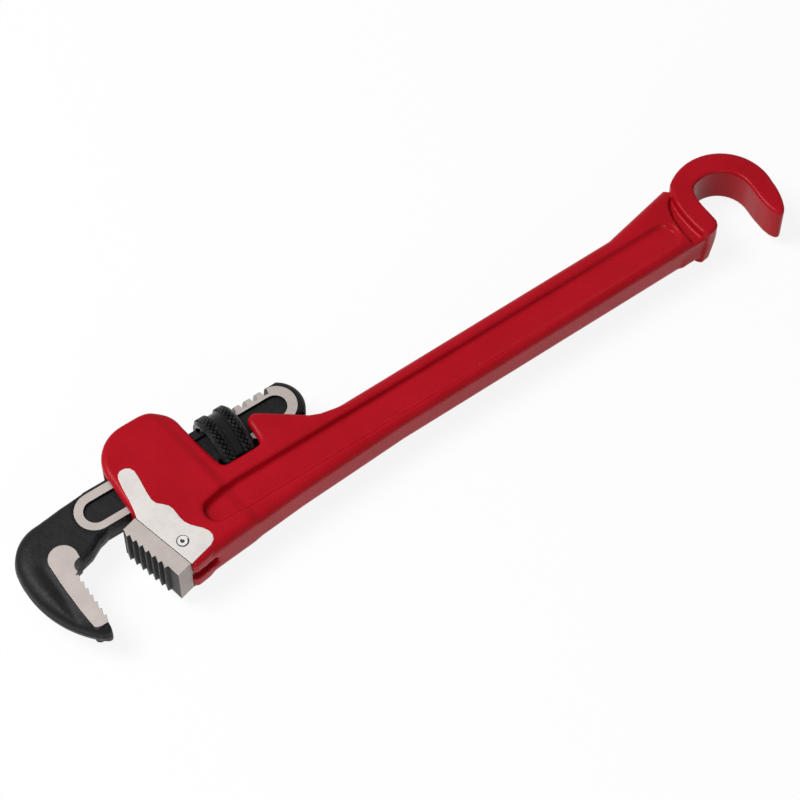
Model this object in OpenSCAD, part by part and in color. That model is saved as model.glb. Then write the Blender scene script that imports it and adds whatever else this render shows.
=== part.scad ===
// Fire hydrant wrench: a pipe wrench head on one end of the bar, a spanner hook on the other.
// It lies on its side. Sizes are in mm, measured from the jaw's centreline at the housing's front
// face, and the whole tool is moved at the end so the origin is under its middle.

/* [Handle] */
// clear length of bar between the housing and the spanner hook
bar_length = 142; // [120:1:240]
// height of the bar
bar_height = 17.8; // [16:0.1:19]
// thickness of the bar over its rims
bar_thickness = 14; // [13:0.1:15]
// radius of the bar's long edges
bar_edge = 3; // [1.5:0.1:4]
// depth of the sunk panel on each side of the bar
panel_depth = 1.6; // [0.8:0.1:2]

/* [Housing] */
// thickness of the housing
head_thickness = 16.6; // [16:0.1:18]
// how far the milled pads stand out from the housing
pad_height = 0.2; // [0.1:0.1:0.5]
// room beside and under the jaw inside the housing
guide_gap = 0.3; // [0.3:0.1:0.5]

/* [Spanner hook] */
// inner radius of the spanner hook
hook_inner = 10.9; // [9:0.1:12]
// outer radius of the spanner hook
hook_outer = 18.6; // [17.5:0.1:20]
// thickness of the spanner hook
hook_thickness = 16.4; // [16:0.1:18]

/* [Hook jaw] */
// thickness of the jaw's shank
shank_thickness = 9.6; // [9:0.1:10]
// thickness of the jaw's head behind its teeth
jaw_thickness = 11.4; // [10.5:0.1:13]
// distance from one tooth to the next
tooth_pitch = 2.78; // [2.5:0.01:3]
// depth of the hook jaw's teeth
jaw_tooth = 0.9; // [0.5:0.1:1.2]
// depth of the heel jaw's teeth
heel_tooth = 1.2; // [0.8:0.1:1.4]

/* [Adjusting nut] */
// radius of the nut over its gripping bands
nut_radius = 11.8; // [11.5:0.1:11.9]
// length of the nut
nut_length = 12; // [11:0.1:12.2]
// distance the jaw moves for one turn of the nut
thread_pitch = 4.2; // [4:0.05:4.4]

/* [Springs] */
// thickness of the flat spring
leaf_thickness = 0.6; // [0.4:0.1:0.7]
// radius of the coil spring's wire
wire_radius = 0.45; // [0.35:0.05:0.5]

/* [Hidden] */
$fn = 64;

// hook centre, and the middle of the tool
hook_x = 85.3 + bar_length;
hook_y = -19.6;
left_end = -41.5;
right_end = hook_x + hook_outer;
top_end = 20.5;
low_end = -38.4;

// nut and its thread: the rack on the jaw runs inside the nut's thread with room all round
nut_x = 40;
nut_y = -0.7;
nut_start = nut_x - nut_length / 2;
trough_radius = 12.15;
rack_crest = 9;
rack_root = 7.45;
nut_minor = 7.75;
nut_major = 9.35;
lead_angle = atan(thread_pitch / (2 * PI * (rack_crest + rack_root) / 2));
thread_points = 36;
thread_steps = round(20 * (nut_length + 2) / thread_pitch);

// heel jaw: its back face leans from the square by this angle
heel_lean = 14.5;
heel_length = 24.2;
pin_x = 7.8;
pin_y = -26.4;
pin_radius = 2;
tongue_thickness = 4;

// springs above the shank
spring_x = 10;
leaf_y = 8.6;
coil_radius = 2.8;
coil_turns = 5;
pocket_top = 17.8;
coil_low = leaf_y + leaf_thickness + wire_radius;
coil_high = pocket_top - wire_radius;

// bar: its centreline rises slightly towards the hook
bar_rise = 0.85;
bar_start = 62;

module place() {
  translate([-(left_end + right_end) / 2, -(top_end + low_end) / 2, nut_radius])
    children();
}

// a slab of the given outline, even about the tool's middle plane
module slab(thick) {
  translate([0, 0, -thick / 2])
    linear_extrude(thick)
      children();
}

module both_sides() {
  children();
  mirror([0, 0, 1])
    children();
}

// rod along X with a rounded section, from the origin
module round_bar(length, high, thick, edge) {
  rotate([90, 0, 90])
    linear_extrude(length) {
      square([high - 2 * edge, thick], center = true);
      square([high, thick - 2 * edge], center = true);
      for (a = [-1, 1])
        for (b = [-1, 1])
          translate([a * (high / 2 - edge), b * (thick / 2 - edge)])
            circle(edge);
    }
}

module stadium(x0, x1, y, r) {
  translate([x0, y])
    circle(r);
  translate([x1, y])
    circle(r);
  translate([x0, y - r])
    square([x1 - x0, 2 * r]);
}

// ---- handle casting ----

module head_outline() {
  translate([13.5, 7])
    circle(13.5);
  translate([19.5, 10])
    circle(10.5);
  polygon([[0, 7], [-0.2, -11.2], [5.8, -34.6], [6.6, -36], [24, -33.6], [50, -31.4], [80, -30], [80, -12],
    [73, -11.7], [67, -10.4], [63, -7.2], [54, 0], [51.5, -2.2], [48, -2.2], [48, -9.9],
    [33.1, -9.9], [30, 10], [19.5, 20.5], [13.5, 20.5]]);
  translate([51.3, -2.2])
    circle(3.3);
}

// the housing's lower edge is rounded: below this line only the rounded bars carry it
module above_edge() {
  polygon([[-5, -33.5], [24, -30.2], [50, -28], [66, -27.2], [66, -14.5], [70, 25], [-5, 25]]);
}

module lower_edge() {
  translate([3, -30.3, 0])
    rotate([0, 0, 5.4])
      round_bar(49, 12, head_thickness, bar_edge);
  translate([49, -25.4, 0])
    rotate([0, 0, 2.7])
      round_bar(32, 12, 15.4, bar_edge);
  translate([49, -17.6, 0])
    rotate([0, 0, 1])
      round_bar(32, 12, 15.4, bar_edge);
}

module hook_outline() {
  difference() {
    union() {
      translate([hook_x, hook_y])
        circle(hook_outer);
      polygon([[hook_x - 14.5, hook_y + 8], [hook_x - 15, hook_y - 6.5], [hook_x - 12, hook_y - 8.5],
        [hook_x - 8.5, hook_y - 8.2], [hook_x - 7.1, hook_y - 6.6], [hook_x - 6.8, hook_y + 6]]);
      polygon([[hook_x + 10, hook_y], [hook_x + hook_outer, hook_y], [hook_x + 18.3, hook_y - 7],
        [hook_x + 16.8, hook_y - 12.6], [hook_x + 15.5, hook_y - 14.6], [hook_x + 13.3, hook_y - 16.2],
        [hook_x + 11.7, hook_y - 14.6], [hook_x + 10.7, hook_y - 11.5]]);
    }
    intersection() {
      translate([hook_x, hook_y])
        circle(hook_inner);
      polygon([[hook_x - 7.4, hook_y + 3], [hook_x - 6, hook_y + 20], [hook_x + 20, hook_y + 20],
        [hook_x + 20, hook_y - 1], [hook_x - 7.4, hook_y - 1]]);
    }
    polygon([[hook_x - 7.4, hook_y + 3], [hook_x - 6.8, hook_y - 7.4], [hook_x - 8.4, hook_y - 8.6],
      [hook_x - 20, hook_y - 9.4], [hook_x - 20, hook_y - 30], [hook_x + 10, hook_y - 30],
      [hook_x + 13.3, hook_y - 16.2], [hook_x + 11.7, hook_y - 14.6], [hook_x + 10.6, hook_y - 11.5],
      [hook_x + 10.6, hook_y - 6], [hook_x + hook_inner, hook_y], [hook_x + 9, hook_y + 3]]);
    polygon([[hook_x + 13.3, hook_y - 16.2], [hook_x + 15.5, hook_y - 14.6], [hook_x + 16.8, hook_y - 12.6],
      [hook_x + 18.3, hook_y - 7], [hook_x + 30, hook_y - 7], [hook_x + 30, hook_y - 30],
      [hook_x, hook_y - 30]]);
    translate([hook_x - 14.5 - 30, hook_y - 30])
      square([30, 60]);
  }
}

// the bar, with the flare that runs up into the hook
module bar() {
  translate([bar_start, -21.1, 0])
    rotate([0, 0, bar_rise])
      round_bar(bar_length + 10.5, bar_height, bar_thickness, bar_edge);
  translate([hook_x - 44, -19.4, 0])
    rotate([0, 0, 8.4])
      round_bar(32, 17, bar_thickness, bar_edge);
}

// the sunk panel: deeper at the housing end
module panel() {
  far = hook_x - 24.5;
  polygon([[24, -16.4], [32, -14.7], [far, -15.3], [far, -25.8], [24, -26.8]]);
  translate([24, -21.6])
    circle(5.2);
  translate([far, -20.55])
    circle(5.25);
}

module pad_outline() {
  polygon([[0.5, -12], [1.2, -5.3], [1.7, 0], [2.5, 4.2], [4.4, 6], [6.6, 5.8], [8.1, 4.4], [8.3, 2],
    [7.4, -7], [8, -10.1], [10.8, -13.2], [11.5, -16], [11.8, -20.8], [16.3, -27.2], [16.8, -30],
    [14.9, -32.4], [6.2, -34.7]]);
}

// thickness of the casting along its length, seen from the handle's edge
module thickness_outline() {
  h = head_thickness / 2;
  b = bar_thickness / 2;
  k = hook_thickness / 2;
  polygon([[-1, -h], [19, -h], [30.5, -7.7], [70, -7.7], [82, -b], [hook_x - 19, -b], [hook_x - 14.5, -k],
    [hook_x + 20, -k], [hook_x + 20, k], [hook_x - 14.5, k], [hook_x - 19, b], [82, b], [70, 7.7],
    [30.5, 7.7], [19, h], [-1, h]]);
}

// room for the jaw's shank, with more height at the front so the jaw can rock
module jaw_passage() {
  w = shank_thickness + 2 * guide_gap;
  slab(w)
    polygon([[-1, -7.1 - guide_gap], [-1, 11.2], [34, 10.1], [34, -7.1 - guide_gap]]);
  slab(w)
    translate([33, -8.8])
      square([45, 16]);
}

module heel_slot(gap) {
  slab(tongue_thickness + 2 * gap)
    polygon([[-3, -16 + gap], [12 + gap, -16 + gap], [16 + gap, -38], [1.5, -38]]);
}

module handle_casting() {
  color([0.66, 0.06, 0.09])
    place()
      difference() {
        union() {
          intersection() {
            union() {
              slab(20)
                intersection() {
                  head_outline();
                  above_edge();
                }
              intersection() {
                slab(20)
                  head_outline();
                lower_edge();
              }
              bar();
              slab(20)
                hook_outline();
            }
            translate([0, 25, 0])
              rotate([90, 0, 0])
                linear_extrude(80)
                  thickness_outline();
          }
          slab(head_thickness + 2 * pad_height)
            pad_outline();
        }
        jaw_passage();
        translate([33.1, nut_y, 0])
          rotate([0, 90, 0])
            cylinder(r = trough_radius, h = 14.8);
        heel_slot(0.1);
        translate([pin_x, pin_y, -12])
          cylinder(r = pin_radius + 0.02, h = 24);
        translate([spring_x, pocket_top, 0])
          rotate([90, 0, 0])
            cylinder(r = coil_radius + wire_radius + 0.5, h = 10);
        both_sides()
          translate([0, 0, bar_thickness / 2 - panel_depth])
            linear_extrude(6)
              panel();
      }
}

// ---- hook jaw ----

module jaw_head_outline() {
  difference() {
    union() {
      translate([-27, -6.8])
        circle(14.2);
      polygon([[-27, -12], [-27, 7.4], [-13, 7.4], [-9, 5.5], [-9, -12]]);
      intersection() {
        translate([-3.5, -10])
          circle(38);
        polygon([[-45, -6], [-24, -6], [-25.9, -16.2], [-25.9, -36], [-26.6, low_end], [-45, low_end]]);
      }
    }
    throat_outline();
  }
}

// the mouth's inner corner, open towards the heel jaw
module throat_outline() {
  polygon([[-26, -30], [-26, -16.2], [-24.2, -14.2], [-21, -12.6], [-17, -11.6], [-12.5, -9], [-8, -7.4],
    [-8, -30]]);
}

module jaw_teeth() {
  for (i = [0:6])
    translate([-26, -16.5 - i * tooth_pitch])
      polygon([[0, 0], [jaw_tooth + 0.1, -0.35], [0.1, -tooth_pitch], [-1, -tooth_pitch], [-1, 0]]);
}

module tooth_pad() {
  translate([-26.4, -9.3])
    circle(4.9);
  polygon([[-31.3, -9.3], [-31.3, -28], [-30.6, -35.2], [-28.5, -36.1], [-25.9, -36.1], [-25.9, -14],
    [-21.8, -11], [-21.5, -9.3]]);
}

// section of the shank behind the housing, as it passes through the nut
module shank_section() {
  h = shank_thickness / 2;
  r = 1.7;
  intersection() {
    union() {
      translate([-7.1 + r, -h])
        square([20, 2 * h]);
      translate([-7.1, -h + r])
        square([20, 2 * h - 2 * r]);
      for (s = [-1, 1])
        translate([-7.1 + r, s * (h - r)])
          circle(r);
    }
    union() {
      translate([nut_y, 0])
        circle(rack_crest);
      translate([-8, -h])
        square([10, 2 * h]);
    }
  }
}

// one groove of the rack, set over to the nut's lead
module rack_groove() {
  translate([0, nut_y, 0])
    rotate([0, lead_angle, 0])
      rotate([0, 90, 0])
        rotate_extrude($fn = 96)
          polygon([[rack_root, -0.75], [11, -1.75], [11, 1.75], [rack_root, 0.75]]);
}

module hook_jaw() {
  color([0.13, 0.12, 0.13])
    place()
      difference() {
        union() {
          slab(jaw_thickness)
            jaw_head_outline();
          slab(jaw_thickness)
            jaw_teeth();
          slab(jaw_thickness + 0.4)
            tooth_pad();
          translate([-14, 0, 0])
            rotate([90, 0, 90])
              linear_extrude(74)
                shank_section();
          intersection() {
            slab(shank_thickness)
              translate([60, 0])
                circle(7.1);
            translate([50, 0, 0])
              rotate([90, 0, 90])
                linear_extrude(20)
                  shank_section();
          }
          intersection() {
            translate([60, 0, -3])
              cylinder(r = 9.6, h = 6);
            translate([60, -7.1, -3])
              cube([12, 14.6, 6]);
          }
        }
        for (i = [0:11])
          translate([nut_start + (i - 5) * thread_pitch, 0, 0])
            rack_groove();
        both_sides()
          translate([0, 0, 3.6])
            linear_extrude(2)
              stadium(-8.8, 59.5, -0.2, 4.1);
        translate([-22.2, -14.6, -10])
          cylinder(r = 2.7, h = 20);
      }
}

// ---- heel jaw and its pin ----

// outline in the jaw's own frame: X out of the toothed face, Y down along it
module heel_outline() {
  polygon([[-5.4, -0.2], [0.2, -0.2], [0, 1], [0, 20.6], [0.3, heel_length], [-5.4, heel_length]]);
  for (i = [0:6])
    translate([0, 0.1 + i * tooth_pitch])
      polygon([[-1, 0], [0, 0], [heel_tooth, tooth_pitch - 0.4], [0, tooth_pitch], [-1, tooth_pitch]]);
}

module heel_jaw() {
  color([0.75, 0.72, 0.7])
    place()
      difference() {
        union() {
          translate([-5.6, -12.5, 0])
            rotate([0, 0, 180 + heel_lean])
              slab(head_thickness + 2 * pad_height)
                heel_outline();
          intersection() {
            heel_slot(0);
            slab(10)
              polygon([[-4, -15], [20, -15], [20, -33], [4, -35]]);
          }
        }
        translate([pin_x, pin_y, -12])
          cylinder(r = pin_radius + 0.02, h = 24);
      }
}

module heel_jaw_pin() {
  h = head_thickness + 2 * pad_height - 0.2;
  color([0.55, 0.55, 0.56])
    place()
      translate([pin_x, pin_y, -h / 2])
        difference() {
          cylinder(r = pin_radius, h = h);
          translate([0, 0, -1])
            cylinder(r = 0.7, h = h + 2);
        }
}

// ---- adjusting nut ----

// how far the thread stands in from its root, from 0 to 1, round one turn
function ridge(a) = let (d = abs(a > 180 ? a - 360 : a) / 360) max(0, min(1, (0.28 - d) / 0.14));

module nut_bore() {
  translate([0, 0, -1])
    linear_extrude(nut_length + 2, twist = -360 * (nut_length + 2) / thread_pitch, slices = thread_steps)
      polygon([for (i = [0:thread_points - 1])
        let (a = i * 360 / thread_points)
        let (r = nut_major - (nut_major - nut_minor) * ridge(a))
        r * [cos(a - 360 / thread_pitch), sin(a - 360 / thread_pitch)]]);
}

module nut_body() {
  r = nut_radius;
  l = nut_length;
  rotate_extrude($fn = 96)
    polygon([[6, 0], [r - 0.9, 0], [r, 0.9], [r, 0.38 * l], [r - 0.7, 0.41 * l], [r - 0.7, 0.62 * l],
      [r, 0.65 * l], [r, l - 0.9], [r - 0.9, l], [6, l]]);
}

module adjusting_nut() {
  color([0.1, 0.1, 0.1])
    place()
      translate([nut_start, nut_y, 0])
        rotate([90, 0, 90])
          difference() {
            nut_body();
            nut_bore();
          }
}

// ---- springs ----

module flat_spring() {
  color([0.45, 0.46, 0.48])
    place()
      difference() {
        translate([2, leaf_y, -4.2])
          cube([27.5, leaf_thickness, 8.4]);
        translate([spring_x, leaf_y + 2, 0])
          rotate([90, 0, 0])
            cylinder(r = 1.02, h = 4);
      }
}

module spring_stud() {
  color([0.5, 0.5, 0.5])
    place()
      translate([spring_x, 0, 0])
        rotate([-90, 0, 0]) {
          translate([0, 0, leaf_y])
            cylinder(r = 1, h = 1);
          translate([0, 0, leaf_y + leaf_thickness])
            cylinder(r = 1.6, h = 2.2);
        }
}

// the coil, as a ring of points carried up a helix
module coil_spring() {
  n = 20 * coil_turns;
  m = 10;
  rise = coil_high - coil_low;
  pts = [for (i = [0:n])
    for (j = [0:m - 1])
      let (a = 18 * i)
      let (r = coil_radius + wire_radius * cos(36 * j))
      [r * cos(a), coil_low + rise * i / n + wire_radius * sin(36 * j), r * sin(a)]];
  sides = [for (i = [0:n - 1])
    for (j = [0:m - 1])
      [i * m + j, i * m + (j + 1) % m, (i + 1) * m + (j + 1) % m, (i + 1) * m + j]];
  low_cap = [for (j = [0:m - 1]) m - 1 - j];
  high_cap = [for (j = [0:m - 1]) n * m + j];
  color([0.4, 0.4, 0.42])
    place()
      translate([spring_x, 0, 0])
        polyhedron(pts, concat(sides, [low_cap], [high_cap]));
}

handle_casting();
hook_jaw();
heel_jaw();
heel_jaw_pin();
adjusting_nut();
flat_spring();
spring_stud();
coil_spring();
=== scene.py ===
# Fire hydrant wrench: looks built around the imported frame
import math
import bmesh
import bpy
from mathutils import Matrix, Vector


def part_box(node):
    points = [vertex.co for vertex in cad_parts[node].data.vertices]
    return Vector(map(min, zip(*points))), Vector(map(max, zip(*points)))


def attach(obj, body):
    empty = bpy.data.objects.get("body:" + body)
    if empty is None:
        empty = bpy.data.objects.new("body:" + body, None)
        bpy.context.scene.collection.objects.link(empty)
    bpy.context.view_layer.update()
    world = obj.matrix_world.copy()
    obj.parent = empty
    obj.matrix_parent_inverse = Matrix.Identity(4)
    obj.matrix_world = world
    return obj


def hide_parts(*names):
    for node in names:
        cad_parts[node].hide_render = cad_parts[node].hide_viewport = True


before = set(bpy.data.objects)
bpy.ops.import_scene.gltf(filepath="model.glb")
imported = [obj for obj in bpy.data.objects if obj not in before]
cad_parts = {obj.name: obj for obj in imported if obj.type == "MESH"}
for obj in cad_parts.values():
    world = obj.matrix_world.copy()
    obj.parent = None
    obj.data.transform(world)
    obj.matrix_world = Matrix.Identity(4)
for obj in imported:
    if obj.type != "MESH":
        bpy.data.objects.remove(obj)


def noteBounds():
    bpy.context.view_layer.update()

noteBounds()

mm = 0.001
# the jaw's centreline at the housing's front face, found from the nut's place on it
nutLow, nutHigh = (Vector(v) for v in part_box("adjusting_nut"))
origin = (nutLow + nutHigh) / 2 - Vector((40, -0.7, 0)) * mm
hookHigh = Vector(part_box("handle_casting")[1])
hookX = (hookHigh.x - origin.x) / mm - 18.6
hookY = -19.6


def at(x, y, z=0.0):
    return origin + Vector((x, y, z)) * mm


def arc(cx, cy, r, start, end, steps):
    turn = [math.radians(start + (end - start) * i / steps) for i in range(steps + 1)]
    return [(cx + r * math.cos(a), cy + r * math.sin(a)) for a in turn]



def finished(name, bm, smooth=True, sharp=35):
    bmesh.ops.recalc_face_normals(bm, faces=bm.faces)
    mesh = bpy.data.meshes.new(name)
    bm.to_mesh(mesh)
    bm.free()
    obj = bpy.data.objects.new(name, mesh)
    bpy.context.scene.collection.objects.link(obj)
    if smooth:
        shadeSmooth(obj, sharp)
    return obj


def shadeSmooth(obj, sharp=35):
    obj.data.shade_smooth()
    obj.data.set_sharp_from_angle(angle=math.radians(sharp))


# a slab from an outline, with rounded rims made by stepping the caps in
def slab(points, low, high, rim=0.0, steps=4):
    bm = bmesh.new()
    base = bm.faces.new([bm.verts.new(at(x, y, low)) for x, y in points])
    walls = bmesh.ops.extrude_face_region(bm, geom=[base])["geom"]
    top = [g for g in walls if isinstance(g, bmesh.types.BMFace)][0]
    bmesh.ops.translate(bm, verts=top.verts, vec=Vector((0, 0, high - low)) * mm)
    bmesh.ops.recalc_face_normals(bm, faces=bm.faces)
    if rim:
        caps = [f for f in bm.faces if abs(f.normal.z) > 0.99]
        for cap in caps:
            bmesh.ops.translate(bm, verts=cap.verts, vec=-cap.normal * rim * mm)
        for cap in caps:
            for i in range(steps):
                a = math.radians(90 * i / steps)
                b = math.radians(90 * (i + 1) / steps)
                bmesh.ops.inset_region(bm, faces=[cap], use_even_offset=True, use_boundary=True,
                                       thickness=rim * (math.cos(a) - math.cos(b)) * mm,
                                       depth=rim * (math.sin(b) - math.sin(a)) * mm)
    return bm


# a solid through a stack of like outlines, each given with its height
def lofted(layers):
    bm = bmesh.new()
    rings = []
    for points, z in layers:
        ring = [bm.verts.new(at(x, y, z)) for x, y in points]
        rings.append([bm.edges.new((ring[i - 1], ring[i])) for i in range(len(ring))])
    for low, high in zip(rings, rings[1:]):
        bmesh.ops.bridge_loops(bm, edges=low + high)
    bmesh.ops.edgenet_fill(bm, edges=rings[0])
    bmesh.ops.edgenet_fill(bm, edges=rings[-1])
    bmesh.ops.recalc_face_normals(bm, faces=bm.faces)
    return bm


# a bar along X with a rounded section, from a point, turned about Z
def roundBar(x, y, length, high, thick, edge, turn=0.0, z=0.0):
    section = []
    for sx, sy, start in ((1, 1, 0), (-1, 1, 90), (-1, -1, 180), (1, -1, 270)):
        section += arc(sx * (high / 2 - edge), sy * (thick / 2 - edge), edge, start, start + 90, 6)
    bm = bmesh.new()
    end = bm.faces.new([bm.verts.new(Vector((0, u, v)) * mm) for u, v in section])
    walls = bmesh.ops.extrude_face_region(bm, geom=[end])["geom"]
    far = [g for g in walls if isinstance(g, bmesh.types.BMVert)]
    bmesh.ops.translate(bm, verts=far, vec=Vector((length, 0, 0)) * mm)
    bmesh.ops.rotate(bm, verts=bm.verts, matrix=Matrix.Rotation(math.radians(turn), 3, "Z"))
    bmesh.ops.translate(bm, verts=bm.verts, vec=at(x, y, z))
    bmesh.ops.recalc_face_normals(bm, faces=bm.faces)
    return bm


# a cylinder between two points
def rod(start, end, radius, segments=48):
    a, b = at(*start), at(*end)
    bm = bmesh.new()
    matrix = Matrix.Translation((a + b) / 2) @ (b - a).to_track_quat("Z", "Y").to_matrix().to_4x4()
    bmesh.ops.create_cone(bm, cap_ends=True, segments=segments, radius1=radius * mm,
                          radius2=radius * mm, depth=(b - a).length, matrix=matrix)
    return bm


# a body of revolution about X through the nut's centre, from (x, radius) points
def turned(points, segments, closed=True):
    bm = bmesh.new()
    ring = [bm.verts.new(at(x, -0.7 + r, 0)) for x, r in points]
    edges = [bm.edges.new((ring[i], ring[i + 1])) for i in range(len(ring) - 1)]
    if closed:
        edges.append(bm.edges.new((ring[-1], ring[0])))
    bmesh.ops.spin(bm, geom=ring + edges, cent=at(0, -0.7), axis=(1, 0, 0), angle=2 * math.pi,
                   steps=segments, use_merge=True)
    bmesh.ops.remove_doubles(bm, verts=bm.verts, dist=1e-7)
    bmesh.ops.recalc_face_normals(bm, faces=bm.faces)
    return bm


def settled(obj):
    view = bpy.context.evaluated_depsgraph_get()
    mesh = bpy.data.meshes.new_from_object(obj.evaluated_get(view))
    obj.modifiers.clear()
    old = obj.data
    obj.data = mesh
    bpy.data.meshes.remove(old)
    return obj


def combine(obj, others, how):
    for bm in others:
        tool = finished("tool", bm, smooth=False)
        cut = obj.modifiers.new("cut", "BOOLEAN")
        cut.operation = how
        cut.solver = "EXACT"
        cut.object = tool
        settled(obj)
        bpy.data.objects.remove(tool, do_unlink=True)
    return obj


def softened(obj, voxel, rounds):
    grid = obj.modifiers.new("grid", "REMESH")
    grid.mode = "VOXEL"
    grid.voxel_size = voxel * mm
    settled(obj)
    soft = obj.modifiers.new("soft", "SMOOTH")
    soft.factor = 0.5
    soft.iterations = rounds
    return settled(obj)


def triangles(obj):
    return sum(len(p.vertices) - 2 for p in obj.data.polygons)



class Wire:
    def __init__(self, graph, socket):
        self.graph = graph
        self.socket = socket

    def math(self, how, other=None, turned=False):
        pair = [other, self] if turned else [self, other]
        inputs = {i: v for i, v in enumerate(pair) if v is not None}
        return self.graph.add("ShaderNodeMath", {"operation": how}, inputs)

    def __add__(self, other):
        return self.math("ADD", other)

    def __radd__(self, other):
        return self.math("ADD", other)

    def __sub__(self, other):
        return self.math("SUBTRACT", other)

    def __rsub__(self, other):
        return self.math("SUBTRACT", other, True)

    def __mul__(self, other):
        return self.math("MULTIPLY", other)

    def __rmul__(self, other):
        return self.math("MULTIPLY", other)

    def __truediv__(self, other):
        return self.math("DIVIDE", other)

    def __rtruediv__(self, other):
        return self.math("DIVIDE", other, True)

    def __pow__(self, other):
        return self.math("POWER", other)


class Graph:
    def __init__(self, name):
        self.material = bpy.data.materials.new(name)
        self.material.use_nodes = True
        self.nodes = self.material.node_tree.nodes
        self.links = self.material.node_tree.links
        self.nodes.clear()
        self.surface = self.nodes.new("ShaderNodeBsdfPrincipled")
        out = self.nodes.new("ShaderNodeOutputMaterial")
        self.links.new(self.surface.outputs[0], out.inputs[0])

    def put(self, socket, value):
        if isinstance(value, Wire):
            self.links.new(value.socket, socket)
        else:
            socket.default_value = value

    def add(self, kind, settings=None, inputs=None, out=0):
        node = self.nodes.new(kind)
        for key, value in (settings or {}).items():
            setattr(node, key, value)
        for key, value in (inputs or {}).items():
            self.put(node.inputs[key], value)
        return Wire(self, node.outputs[out])

    def place(self):
        return self.add("ShaderNodeTexCoord", out="Object")

    def noise(self, scale, detail=3.0, rough=0.5, where=None):
        return self.add("ShaderNodeTexNoise", {"noise_dimensions": "3D"},
                        {"Vector": where or self.place(), "Scale": scale, "Detail": detail, "Roughness": rough})

    def span(self, value, low, high, toLow=0.0, toHigh=1.0):
        return self.add("ShaderNodeMapRange", {"clamp": True},
                        {"Value": value, "From Min": low, "From Max": high, "To Min": toLow, "To Max": toHigh})

    def mix(self, amount, first, second):
        return self.add("ShaderNodeMix", {"data_type": "RGBA"}, {0: amount, 6: first, 7: second}, out=2)

    def edges(self, low, high):
        return self.span(self.add("ShaderNodeNewGeometry", out="Pointiness"), low, high)

    def bump(self, height, strength, distance):
        return self.add("ShaderNodeBump", inputs={"Height": height, "Strength": strength, "Distance": distance})

    def done(self, **inputs):
        for key, value in inputs.items():
            self.put(self.surface.inputs[key.replace("_", " ")], value)
        return self.material


def enamelMaterial():
    look = {"red": (0.415, 0.0045, 0.013, 1), "deepRed": (0.37, 0.0035, 0.010, 1), "edgeWearAndSheen": (0.48, 0.02, 0.022, 1)}
    g = Graph("redEnamel")
    grain = g.noise(750, 4, 0.6)
    # convex edges turn a lighter, pinker red: partly paint worn thin there, partly a painted edge highlight
    edgeWearAndSheen = g.edges(0.53, 0.60) * g.span(g.noise(240, 3, 0.6), 0.42, 0.62)
    base = g.mix(g.span(g.noise(60, 4, 0.6), 0.36, 0.68), look["red"], look["deepRed"])
    colour = g.mix(edgeWearAndSheen * 0.6, base, look["edgeWearAndSheen"])
    rough = g.span(grain, 0.3, 0.7, 0.20, 0.29) + g.span(g.noise(35, 3), 0.4, 0.7, 0.0, 0.05)
    height = g.noise(330, 3, 0.5) + grain * 0.30
    return g.done(Base_Color=colour, Roughness=rough, Specular_IOR_Level=0.08,
                  Normal=g.bump(height, 0.3, 0.0001))


def forgedMaterial(name, tone, roughLow, roughHigh, bumpSize, scale=260):
    g = Graph(name)
    grain = g.noise(900, 5, 0.65)
    rub = g.edges(0.53, 0.60) * g.span(g.noise(300, 3), 0.4, 0.65)
    cloud = g.span(g.noise(85, 4, 0.6), 0.38, 0.68)
    base = g.mix(cloud, tone, tuple(c * 1.9 for c in tone[:3]) + (1,))
    colour = g.mix(rub * 0.25, base, (0.16, 0.155, 0.15, 1))
    rough = g.span(grain, 0.3, 0.7, roughLow, roughHigh) + cloud * 0.06
    return g.done(Base_Color=colour, Metallic=0.0, Roughness=rough, Specular_IOR_Level=0.14,
                  Normal=g.bump(g.noise(scale, 4, 0.6) + grain * 0.35, 0.7, bumpSize))


def bareMaterial(name, tone, rough, turn, depth, metal=0.7, streak=0.30):
    g = Graph(name)
    along = g.add("ShaderNodeMapping", inputs={"Vector": g.place(), "Rotation": (0, 0, math.radians(turn)),
                                               "Scale": (1, 22, 1)})
    lines = g.noise(170, 3, 0.7, along)
    cloud = g.noise(120, 4, 0.6)
    speck = g.span(g.noise(1100, 2, 0.6), 0.62, 0.74)
    dull = tuple(c * 0.80 for c in tone[:3]) + (1,)
    colour = g.mix(g.span(cloud, 0.35, 0.7) * 0.6, tone, dull)
    colour = g.mix(g.span(lines, 0.52, 0.74) * streak, colour, tuple(c * 0.62 for c in tone[:3]) + (1,))
    colour = g.mix(speck * 0.22, colour, tuple(c * 0.45 for c in tone[:3]) + (1,))
    return g.done(Base_Color=colour, Metallic=metal, Roughness=g.span(lines, 0.3, 0.7, rough, rough + 0.14),
                  Normal=g.bump(lines + cloud * 0.5, 0.3, depth))


enamel = enamelMaterial()
forged = forgedMaterial("blackForging", (0.0050, 0.0046, 0.0050, 1), 0.36, 0.5, 0.00030)
blackNut = forgedMaterial("blackNut", (0.0022, 0.0022, 0.0023, 1), 0.16, 0.30, 0.00010, 900)
darkTooth = bareMaterial("darkTooth", (0.026, 0.023, 0.022, 1), 0.46, 90, 0.00004, 0.5, 0.5)
milled = bareMaterial("milledIron", (0.56, 0.53, 0.51, 1), 0.44, 52, 0.00003, 0.45)
ground = bareMaterial("groundSteel", (0.38, 0.335, 0.312, 1), 0.42, 15, 0.00003, 0.5)
jawFlat = bareMaterial("jawFlat", (0.38, 0.335, 0.312, 1), 0.42, 8, 0.00003, 0.5)
pinSteel = bareMaterial("pinSteel", (0.72, 0.69, 0.67, 1), 0.38, 0, 0.00002, 0.5)
springSteel = bareMaterial("springSteel", (0.30, 0.30, 0.31, 1), 0.35, 0, 0.00003)
# near-black painted shade, for the dark strips beside the pads and for the pin's hollow
paintedShade = bareMaterial("seamPaintedShade", (0.02, 0.017, 0.016, 1), 0.6, 0, 0.00003, 0.1)
print("materials ready")


def dress(obj, body, nodes, slot, *materials):
    for m in materials:
        obj.data.materials.append(m)
    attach(obj, body)
    for n in nodes:
        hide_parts(n)
    return obj



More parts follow.
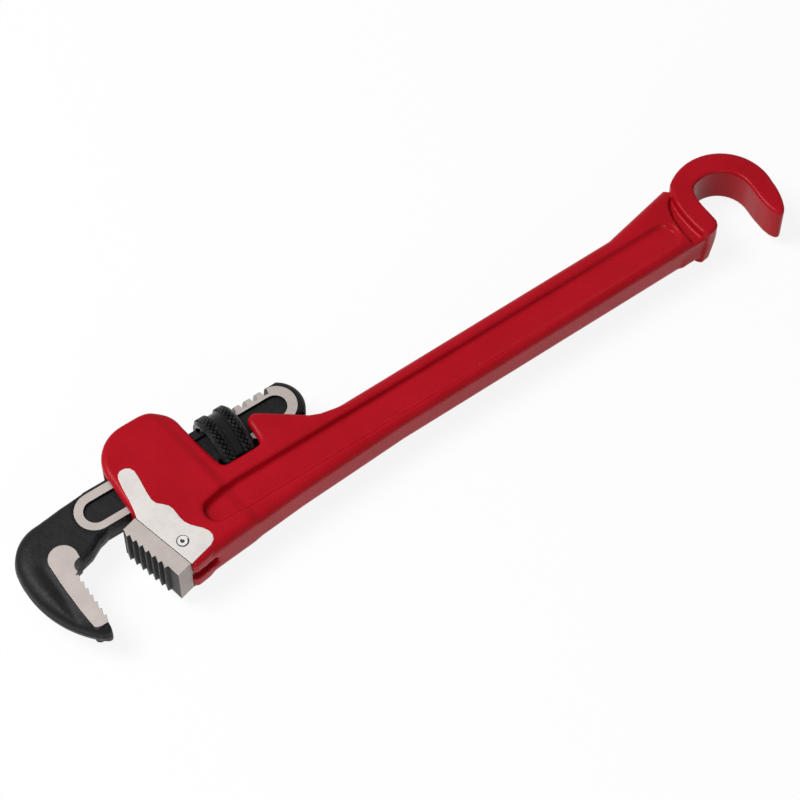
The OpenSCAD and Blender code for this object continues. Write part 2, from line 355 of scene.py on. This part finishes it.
casting = {"rim": 1.7, "hookRim": 1.0, "voxel": 0.48, "smoothing": 5, "front": 8.3, "neck": 7.25, "bar": 7.0,
           "panelDepth": 1.75, "panelDrop": 1.3, "panelWall": 1.35}

headOutline = ([(-0.2, -11.2), (0, 7)] + arc(13.5, 7, 13.5, 180, 90, 14)[1:] + arc(19.5, 10, 10.5, 90, 0, 12)
               + [(31.3, 0), (32.8, -7.4), (33.3, -9.0), (34.8, -9.9), (46.4, -9.9), (47.6, -9.0), (48, -7.4), (48.2, -2.4)]
               + arc(51.3, -2.2, 3.1, 170, 52, 8)
               + [(62.2, -6.4), (66.5, -9.8), (70, -11.3), (75, -12.3), (84, -13.6), (92, -16), (92, -25), (70, -27),
                  (50, -28.6), (30, -30.8), (18, -33), (12, -35.2), (7.4, -35.9), (6.2, -35.6), (5.8, -34.6)])
ringOutline = (arc(hookX, hookY, 18.6, 128, -12, 34)
               + [(hookX + 17.95, hookY - 6.5), (hookX + 17.3, hookY - 9.3), (hookX + 16.5, hookY - 11.7),
                  (hookX + 15.3, hookY - 14.2), (hookX + 14.0, hookY - 15.7), (hookX + 12.9, hookY - 15.9),
                  (hookX + 11.9, hookY - 15.1), (hookX + 11.1, hookY - 13.4), (hookX + 10.6, hookY - 10.8),
                  (hookX + 10.5, hookY - 6)]
               + arc(hookX, hookY, 10.9, 0, 119, 24)
               + [(hookX - 6.5, hookY + 7.2), (hookX - 7.0, hookY + 4.6), (hookX - 7.1, hookY + 2), (hookX - 6.8, hookY - 5.6),
                  (hookX - 7.6, hookY - 7.3), (hookX - 9.2, hookY - 8.4), (hookX - 12.4, hookY - 8.8),
                  (hookX - 13.8, hookY - 7), (hookX - 14.4, hookY - 3), (hookX - 14.6, hookY + 3),
                  (hookX - 14.1, hookY + 8), (hookX - 12.6, hookY + 12)])
# the valley between the bar's face and the hook's block
valleyOutline = [(hookX - 18.3, -30), (hookX - 18.6, -21), (hookX - 18, -15), (hookX - 16.6, -11.4), (hookX - 14.6, -8.8),
                 (hookX - 12.4, -8.8), (hookX - 11.8, -12), (hookX - 12, -18), (hookX - 12, -24), (hookX - 10, -30)]


# the sunk panel's outline, drawn in by a distance
def panelOutline(inset):
    far = hookX - 25.1
    return (arc(23.6, -22.4, 5.2 - inset, 270, 128, 14) + [(28.5, -16.4 - inset), (34, -15.8 - inset), (far, -14.8 - inset)]
            + arc(far, -20.6, 5.8 - inset, 90, -90, 14))


# the panel's cutter: its floor lies lower beside the housing, and rises a little towards the lower edge
def panelCutter(side):
    front = casting["front"]
    floor = front - casting["panelDepth"] * front / casting["bar"]
    wall = casting["panelWall"]
    levels = [(-1.2, front + 1.5), (0.0, front), (0.22 * wall, front - 0.3), (0.85 * wall, floor + 0.3),
              (wall, floor + 0.02), (wall + 0.7, floor - 0.03)]
    cutter = lofted([(panelOutline(inset), z * side) for inset, z in levels])
    for v in cutter.verts:
        x = (v.co.x - origin.x) / mm
        y = (v.co.y - origin.y) / mm
        sunk = min(1.0, max(0.0, (front - abs(v.co.z - origin.z) / mm) / (front - floor)))
        deeper = casting["panelDrop"] * (1 - eased(x, 58, 95))
        rise = (0.25 + 1.35 * eased(x, 62, 98)) * eased(-y, 18.5, 26.5)
        v.co.z -= side * sunk * (deeper - rise) * mm
    return cutter


def eased(v, low, high):
    t = min(1.0, max(0.0, (v - low) / (high - low)))
    return t * t * (3 - 2 * t)


def thicknessAt(x, y):
    start = 24.3 + 0.13 * (8 - y)
    t = casting["front"] + (casting["neck"] - casting["front"]) * eased(x, start, start + 3.8)
    return t + (casting["bar"] - casting["neck"]) * eased(x, 66, 90)


def buildCasting():
    front = casting["front"]
    body = finished("castingBody", slab(headOutline, -front, front, casting["rim"]), smooth=False)
    bars = [roundBar(62, -21.1, hookX - 62 - 8.5, 17.8, 2 * front, 3.4, 0.85),
            roundBar(12, -26.1, 42, 17.8, 2 * front, 3.4, 5.0),
            roundBar(46, -23.0, 46, 17.8, 2 * front, 3.4, 3.0),
            roundBar(hookX - 46, -20.0, 35, 16.6, 2 * front, 3.4, 12.4)]
    combine(body, bars, "UNION")
    valley = front * 5.2 / casting["bar"]
    combine(body, [slab(valleyOutline, valley, 12), slab(valleyOutline, -12, -valley)], "DIFFERENCE")
    block = front * 8.2 / casting["bar"]
    combine(body, [slab(ringOutline, -block, block, casting["hookRim"], 3)], "UNION")
    cutters = [slab([(-3, -7.4), (-3, 11.6), (0.4, 11.2), (36, 10.1), (36, -7.4)], -5.1, 5.1),
               slab([(33, -8.8), (33, 6), (78, 6), (78, -8.8)], -5.1, 5.1),
               rod((33.3, -0.7, 0), (47.8, -0.7, 0), 12.15, 96),
               slab([(-3, -15.9), (12.1, -15.9), (16.1, -38), (1.5, -38)], -2.2, 2.2),
               rod((10, 9, 0), (10, 17.8, 0), 3.75, 32), panelCutter(1), panelCutter(-1)]
    combine(body, cutters, "DIFFERENCE")
    softened(body, casting["voxel"], casting["smoothing"])
    for v in body.data.vertices:
        x = (v.co.x - origin.x) / mm
        y = (v.co.y - origin.y) / mm
        v.co.z = origin.z + (v.co.z - origin.z) * thicknessAt(x, y) / front
        # the hook's inner end leans back towards the bar below its face
        z = (v.co.z - origin.z) / mm
        low = eased(-y, 20.5, 24.5) * eased(x, 203, 208) * (1 - eased(x, 221, 226)) * eased(-z, -3, 8.2)
        v.co.x -= 2.2 * low * mm
        v.co.y -= 0.7 * low * mm
    shadeSmooth(body, 60)
    print("casting", triangles(body))
    return dress(body, "handle", ["handle_casting"], "enamel", enamel)


padPoints = [(-0.05, -11.6), (0.7, -8.6), (1.4, -4.5), (1.8, 0), (2.5, 3.9), (3.1, 5.2), (4.4, 6.1), (6.2, 6.0), (7.6, 5.1),
             (8.3, 3.4), (8.2, 1), (7.5, -5.5), (7.4, -8.4), (8.0, -10.2), (9.4, -11.6), (10.8, -13.2), (11.4, -15),
             (11.5, -18.6), (11.9, -20.9), (13.0, -23), (15.6, -26), (16.7, -28), (16.9, -29.8), (16.2, -31.4),
             (14.6, -32.5), (12, -33.2), (5.95, -34.75)]
seamShadePoints = [(-0.5, -11.2), (0.3, -11.5), (6.3, -34.7), (5.5, -34.6)]


def buildPads():
    pads = bpy.data.objects.new("millingPads", bpy.data.meshes.new("millingPads"))
    bpy.context.scene.collection.objects.link(pads)
    combine(pads, [slab(padPoints, 7.8, 8.46, 0.1, 2), slab(padPoints, -8.46, -7.8, 0.1, 2)], "UNION")
    combine(pads, [rod((7.8, -26.4, -9), (7.8, -26.4, 9), 2.12, 48)], "DIFFERENCE")
    shadeSmooth(pads, 20)
    print("pads", triangles(pads))
    dress(pads, "handle", [], "enamel", milled)
    # thin dark strips along the heel jaw's seam with the pads: painted shade standing in for a groove's shadow
    for low, high in ((7.9, 8.36), (-8.36, -7.9)):
        line = finished("padSeamShade", slab(seamShadePoints, low, high))
        dress(line, "handle", [], "enamel", paintedShade)


buildCasting()
buildPads()



jaw = {"pitch": 2.78, "tooth": 0.9, "voxel": 0.36, "smoothing": 4, "threadPitch": 4.2}


# the forged head's outline, with its outside drawn in by a distance
def forgingOutline(t):
    inner = min(t, 1.6) * 0.75
    return (arc(-3.5, -10, 38 - t, 176, 227.2, 16)
            + [(-27.6, -38.5 + 0.5 * t), (-26.4, -38.6 + 0.5 * t), (-25.8, -37.9 + 0.4 * t), (-25.9, -35), (-25.9, -16.2),
               (-24.4 - 0.3 * inner, -14.2 + 0.8 * inner), (-21, -12.6 + inner), (-17, -11.6 + inner), (-12.5, -9 + 0.9 * inner),
               (-8, -7.3 + 0.4 * inner), (2, -7.1), (2, 8.35 - 0.2 * t), (-10, 8.35 - 0.3 * t), (-18, 8.15 - 0.6 * t)]
            + arc(-27, -6.7, 14.2 - t, 90, 168, 16))


def buildForging():
    draft = [(0.0, 0.0), (0.32, 0.25), (2.4, 0.5), (3.5, 0.95), (4.2, 1.6), (4.75, 2.6), (5.1, 4.0), (5.3, 5.6)]
    layers = [(forgingOutline(t), -z) for z, t in draft[:0:-1]] + [(forgingOutline(t), z) for z, t in draft]
    body = finished("jawForging", lofted(layers), smooth=False)
    flat = arc(-9, 0, 7.15, 90, 270, 20) + [(4, -7.15), (4, -12), (8, -12), (8, 12), (4, 12), (4, 7.15)]
    recess = arc(-8.8, -0.2, 4.0, 90, 270, 16) + [(5, -4.2), (5, 3.8)]
    combine(body, [slab(flat, 4.6, 8), slab(flat, -8, -4.6), slab(recess, 3.4, 8), slab(recess, -8, -3.4),
                   rod((-22.2, -14.6, -10), (-22.2, -14.6, 10), 2.7, 32),
                   slab([(-8.3, -12), (6, -12), (6, 12), (-8.3, 12)], -8, 8)], "DIFFERENCE")
    softened(body, jaw["voxel"], jaw["smoothing"])
    for v in body.data.vertices:
        x = (v.co.x - origin.x) / mm
        y = (v.co.y - origin.y) / mm
        z = (v.co.z - origin.z) / mm
        dip = 0.75 * math.exp(-((x + 33.2) / 2.2) ** 2) * eased(-y, 4, 12) * (1 - eased(-y, 29, 36))
        v.co.z -= math.copysign(dip * eased(abs(z), 2.5, 5), z) * mm
    shadeSmooth(body, 60)
    print("forging", triangles(body))
    return dress(body, "jaw", ["hook_jaw"], "black_forging", forged)


def toothRow(count, pitch, depth, lean):
    row = []
    for i in range(count):
        row += [(0, i * pitch), (depth, i * pitch + lean)]
    return row + [(0, count * pitch)]


def buildToothBlock():
    teeth = [(-26.0 + u, -16.5 - v) for u, v in toothRow(7, jaw["pitch"], jaw["tooth"], 0.35)]
    outline = ([(-21.6, -11.6), (-21.5, -9.3)] + arc(-26.4, -9.3, 4.9, 0, 180, 18)
               + [(-31.4, -18), (-31.1, -28), (-30.5, -35.0), (-29.6, -35.8), (-28, -36.1), (-26.0, -36.05)]
               + teeth[::-1] + arc(-22.2, -14.6, 2.75, 200, 95, 7))
    bm = slab(outline, -5.88, 5.88)
    rims = [e for e in bm.edges if abs(e.verts[0].co.z - e.verts[1].co.z) < 1e-7]
    bmesh.ops.bevel(bm, geom=rims, offset=0.1 * mm, segments=2, profile=0.5, affect="EDGES", material=-1)
    obj = finished("jawTeeth", bm, sharp=20)
    for p in obj.data.polygons:
        p.material_index = 0 if abs(p.normal.z) > 0.5 else 1
    print("jaw teeth", triangles(obj))
    return dress(obj, "jaw", [], "black_forging", jawFlat, darkTooth)


# the shank's rounded rear end, drawn in by a distance
def endOutline(t):
    return arc(60, 0, 9.7 - t, -46, 58, 30) + [(56.1, 8.2 - 0.9 * t), (56, -6.9 + 0.5 * t)]


def buildShank():
    h, r, crest = 4.8, 0.45, 9.0
    limit = math.degrees(math.asin(h / crest))
    section = [(-0.7 + crest * math.cos(math.radians(a)), crest * math.sin(math.radians(a)))
               for a in [-limit + 2 * limit * i / 12 for i in range(13)]]
    section += arc(-7.1 + r, h - r, r, 90, 180, 4) + arc(-7.1 + r, -h + r, r, 180, 270, 4)
    bm = bmesh.new()
    end = bm.faces.new([bm.verts.new(at(-17, y, z)) for y, z in section])
    walls = bmesh.ops.extrude_face_region(bm, geom=[end])["geom"]
    far = [g for g in walls if isinstance(g, bmesh.types.BMVert)]
    bmesh.ops.translate(bm, verts=far, vec=Vector((77, 0, 0)) * mm)
    shank = finished("jawShank", bm, smooth=False)
    tip = slab(arc(60, 0, 7.1, 0, 360, 48)[:-1], -4.8, 4.8)
    draft = [(0.0, 0.0), (2.4, 0.0), (3.2, 0.35), (3.9, 0.9), (4.3, 1.5), (4.6, 2.4)]
    end = lofted([(endOutline(t), -z) for z, t in draft[:0:-1]] + [(endOutline(t), z) for z, t in draft])
    crown = slab([(-16, 5), (14, 5), (14, 8.2), (-16, 8.2)], -4.7, 4.7, 0.9, 3)
    combine(shank, [tip, end, crown], "UNION")
    under = slab([(46, -12), (75, -12), (75, -7.15), (46, -7.15)], -8, 8)
    front = [(-22, -12), (-22, 12), (-9, 12)] + arc(-9, 0, 7.1, 90, 270, 24) + [(-9, -12)]
    combine(shank, [under, slab(front, -8, 8)], "DIFFERENCE")
    lead = math.atan(jaw["threadPitch"] / (2 * math.pi * 8.2))
    grooves = []
    for i in range(12):
        x = 34 + (i - 5) * jaw["threadPitch"]
        groove = turned([(x - 0.75, 7.45), (x - 1.75, 11), (x + 1.75, 11), (x + 0.75, 7.45)], 96)
        bmesh.ops.rotate(groove, verts=groove.verts, cent=at(x, -0.7), matrix=Matrix.Rotation(lead, 3, "Y"))
        grooves.append(groove)
    combine(shank, grooves, "DIFFERENCE")
    slot = arc(-8.8, -0.2, 4.1, 90, 270, 20) + arc(59.5, -0.2, 4.1, -90, 90, 20)
    combine(shank, [slab(slot, 3.6, 8), slab(slot, -8, -3.6)], "DIFFERENCE")
    # cuts across the flats where the blackened part begins and ends
    bm = bmesh.new()
    bm.from_mesh(shank.data)
    for x in (20, 47.2, 58.6):
        bmesh.ops.bisect_plane(bm, geom=list(bm.verts) + list(bm.edges) + list(bm.faces), dist=1e-7,
                               plane_co=at(x, 0), plane_no=(1, 0, 0))
    bm.to_mesh(shank.data)
    bm.free()
    for p in shank.data.polygons:
        x = (p.center.x - origin.x) / mm
        y = (p.center.y - origin.y) / mm
        z = abs(p.center.z - origin.z) / mm
        flat = abs(p.normal.z) > 0.98 and z > 4.75 and (x < 20 or x > 47.2)
        rack = 47.2 < x < 58.6 and y > 4.6 and z < 4.79
        p.material_index = 0 if flat or rack else 1
    shadeSmooth(shank, 30)
    print("shank", triangles(shank))
    return dress(shank, "jaw", [], "black_forging", jawFlat, forged)


buildForging()
buildToothBlock()
buildShank()



heel = {"pitch": 2.78, "tooth": 1.2, "length": 24.2, "lean": 14.5}


def buildHeel():
    outline = ([(-5.4, -0.2), (0.2, -0.2)] + toothRow(7, heel["pitch"], heel["tooth"], heel["pitch"] - 0.4)
               + [(0.05, 20.6), (0.3, heel["length"]), (-5.4, heel["length"])])
    turn = math.radians(180 + heel["lean"])
    points = [(-5.6 + u * math.cos(turn) - v * math.sin(turn), -12.5 + u * math.sin(turn) + v * math.cos(turn))
              for u, v in outline]
    bm = slab(points, -8.48, 8.48)
    rims = [e for e in bm.edges if abs(e.verts[0].co.z - e.verts[1].co.z) < 1e-7]
    bmesh.ops.bevel(bm, geom=rims, offset=0.13 * mm, segments=2, profile=0.5, affect="EDGES", material=-1)
    obj = finished("heelBlock", bm, sharp=20)
    away = Vector((math.cos(turn), math.sin(turn), 0))
    for p in obj.data.polygons:
        depth = (p.center - at(-5.6, -12.5)).dot(away) / mm
        toothed = p.normal.dot(away) > 0.25 or (depth > 0.02 and abs(p.normal.z) < 0.5)
        p.material_index = 1 if toothed and abs(p.normal.z) < 0.5 else 0
    print("heel", triangles(obj))
    dress(obj, "handle", ["heel_jaw"], "bare_steel", ground, darkTooth)
    tongue = finished("heelTongue", slab([(-1, -16), (12, -16), (14.9, -32.6), (4.6, -34)], -2, 2, 0.15, 2))
    return dress(tongue, "handle", [], "bare_steel", ground)


def buildPin():
    bm = bmesh.new()
    strip = []
    for i in range(91):
        a = math.radians(9 * i)
        r = 1.92 - 1.05 * i / 90
        strip.append(bm.verts.new(at(7.8 + r * math.cos(a), -26.4 + r * math.sin(a), -8.46)))
    edges = [bm.edges.new((strip[i], strip[i + 1])) for i in range(90)]
    walls = bmesh.ops.extrude_edge_only(bm, edges=edges)["geom"]
    top = [g for g in walls if isinstance(g, bmesh.types.BMVert)]
    bmesh.ops.translate(bm, verts=top, vec=Vector((0, 0, 16.92)) * mm)
    bmesh.ops.recalc_face_normals(bm, faces=bm.faces)
    bmesh.ops.solidify(bm, geom=bm.faces, thickness=0.36 * mm)
    obj = finished("rolledPin", bm)
    # a dark disc inside the rolled pin is painted shade, covering the red casting seen through the pin's hollow
    core = finished("pinHoleShade", rod((7.8, -26.4, -8.34), (7.8, -26.4, 8.34), 2.16))
    dress(core, "handle", [], "enamel", paintedShade)
    print("pin", triangles(obj))
    return dress(obj, "handle", ["heel_jaw_pin"], "pin_steel", pinSteel)


buildHeel()
buildPin()



nut = {"around": 38, "rows": 2, "height": 0.42, "radius": 11.75}


def knurl(x0, x1):
    base = nut["radius"] - nut["height"]
    points = [(x0 + (x1 - x0) * i / nut["rows"], base) for i in range(nut["rows"] + 1)]
    bm = turned(points, nut["around"], closed=False)
    grid = [e for e in bm.edges if len(e.link_faces) == 2]
    bmesh.ops.poke(bm, faces=bm.faces, offset=0)
    bmesh.ops.dissolve_edges(bm, edges=grid, use_verts=False)
    for v in bm.verts:
        arm = v.co - at(0, -0.7)
        arm.x = 0
        v.co += arm.normalized() * (base * mm - arm.length)
    bmesh.ops.recalc_face_normals(bm, faces=bm.faces)
    for f in bm.faces:
        arm = f.calc_center_median() - at(0, -0.7)
        arm.x = 0
        if f.normal.dot(arm) < 0:
            f.normal_flip()
    diamonds = [f for f in bm.faces if len(f.verts) >= 4]
    bmesh.ops.inset_individual(bm, faces=diamonds, thickness=0.34 * mm, depth=nut["height"] * mm)
    return bm


def nutRing(points):
    return turned(points, 96)


def buildNut():
    r = nut["radius"]
    low = r - nut["height"]
    core = nutRing([(34.1, 9.3), (34.0, 9.6), (34.0, 10.6), (34.75, low), (38.5, low), (38.85, low - 0.45), (41.6, low - 0.45),
                    (41.95, low), (45.25, low), (46.0, 10.6), (46.0, 9.6), (45.9, 9.3)])
    for span in ((34.75, 38.55), (41.9, 45.25)):
        band = knurl(*span)
        mesh = bpy.data.meshes.new("band")
        band.to_mesh(mesh)
        core.from_mesh(mesh)
        band.free()
        bpy.data.meshes.remove(mesh)
    mesh = bpy.data.meshes.new("knurledNut")
    core.to_mesh(mesh)
    core.free()
    obj = bpy.data.objects.new("knurledNut", mesh)
    bpy.context.scene.collection.objects.link(obj)
    shadeSmooth(obj, 25)
    print("nut", triangles(obj))
    return dress(obj, "nut", ["adjusting_nut"], "black_nut", blackNut)


buildNut()



for name in ("flat_spring", "spring_stud", "coil_spring"):
    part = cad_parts[name]
    part.data.materials.clear()
    part.data.materials.append(springSteel)



light = {"world": 0.16, "key": 21.0, "fill": 2.2, "side": 1.0, "floorShow": 0.88}


def buildStage():
    bm = bmesh.new()
    bmesh.ops.create_grid(bm, x_segments=1, y_segments=1, size=4.0)
    floor = finished("floor", bm, smooth=False)
    g = Graph("floorPaint")
    paint = g.surface
    paint.inputs["Base Color"].default_value = (0.92, 0.92, 0.92, 1)
    paint.inputs["Roughness"].default_value = 0.9
    paint.inputs["Specular IOR Level"].default_value = 0.1
    white = g.add("ShaderNodeEmission", inputs={"Strength": 1.0})
    seen = g.add("ShaderNodeLightPath", out="Is Camera Ray")
    path = seen.socket.node
    mirrored = Wire(g, path.outputs["Is Glossy Ray"]).math("MAXIMUM", Wire(g, path.outputs["Is Transmission Ray"]))
    show = (seen * light["floorShow"]).math("MAXIMUM", mirrored)
    both = g.add("ShaderNodeMixShader", inputs={0: show, 1: Wire(g, paint.outputs[0]), 2: white})
    g.links.new(both.socket, g.nodes["Material Output"].inputs[0])
    floor.data.materials.append(g.material)


def lamp(name, place, aim, size, power):
    data = bpy.data.lights.new(name, "AREA")
    data.energy = power
    data.size = size
    obj = bpy.data.objects.new(name, data)
    obj.location = place
    obj.rotation_euler = (Vector(aim) - Vector(place)).to_track_quat("-Z", "Y").to_euler()
    bpy.context.scene.collection.objects.link(obj)


def buildLight():
    world = bpy.data.worlds.new("studio")
    world.use_nodes = True
    nodes = world.node_tree.nodes
    links = world.node_tree.links
    nodes["Background"].inputs[0].default_value = (1, 1, 1, 1)
    path = nodes.new("ShaderNodeLightPath")
    strength = None
    for ray in ("Is Camera Ray", "Is Glossy Ray", "Is Transmission Ray"):
        larger = nodes.new("ShaderNodeMath")
        larger.operation = "MAXIMUM"
        larger.inputs[1].default_value = light["world"]
        links.new(path.outputs[ray], larger.inputs[0])
        if strength:
            links.new(strength, larger.inputs[1])
        strength = larger.outputs[0]
    links.new(strength, nodes["Background"].inputs[1])
    bpy.context.scene.world = world
    lamp("overhead", (-0.62, 0.45, 1.35), (0, 0, 0), 0.7, light["key"])
    lamp("front", (-0.45, -0.95, 0.5), (0, 0, 0), 0.35, light["fill"])
    lamp("side", (-0.95, 0.25, 0.55), (0, 0, 0), 0.35, light["side"])


def buildCamera():
    data = bpy.data.cameras.new("camera")
    data.lens = 138
    data.sensor_width = 36
    data.clip_start = 0.01
    obj = bpy.data.objects.new("camera", data)
    bpy.context.scene.collection.objects.link(obj)
    turn, rise = math.radians(34.2), math.radians(61)
    look = Vector((-math.sin(turn) * math.cos(rise), -math.cos(turn) * math.cos(rise), math.sin(rise)))
    aim = at(96, -19)
    obj.location = aim + look * 1.0056
    obj.rotation_euler = (-look).to_track_quat("-Z", "Y").to_euler()
    bpy.context.scene.camera = obj


buildStage()
buildLight()
buildCamera()
bpy.context.scene.view_settings.view_transform = "Standard"
noteBounds()
print("ready")
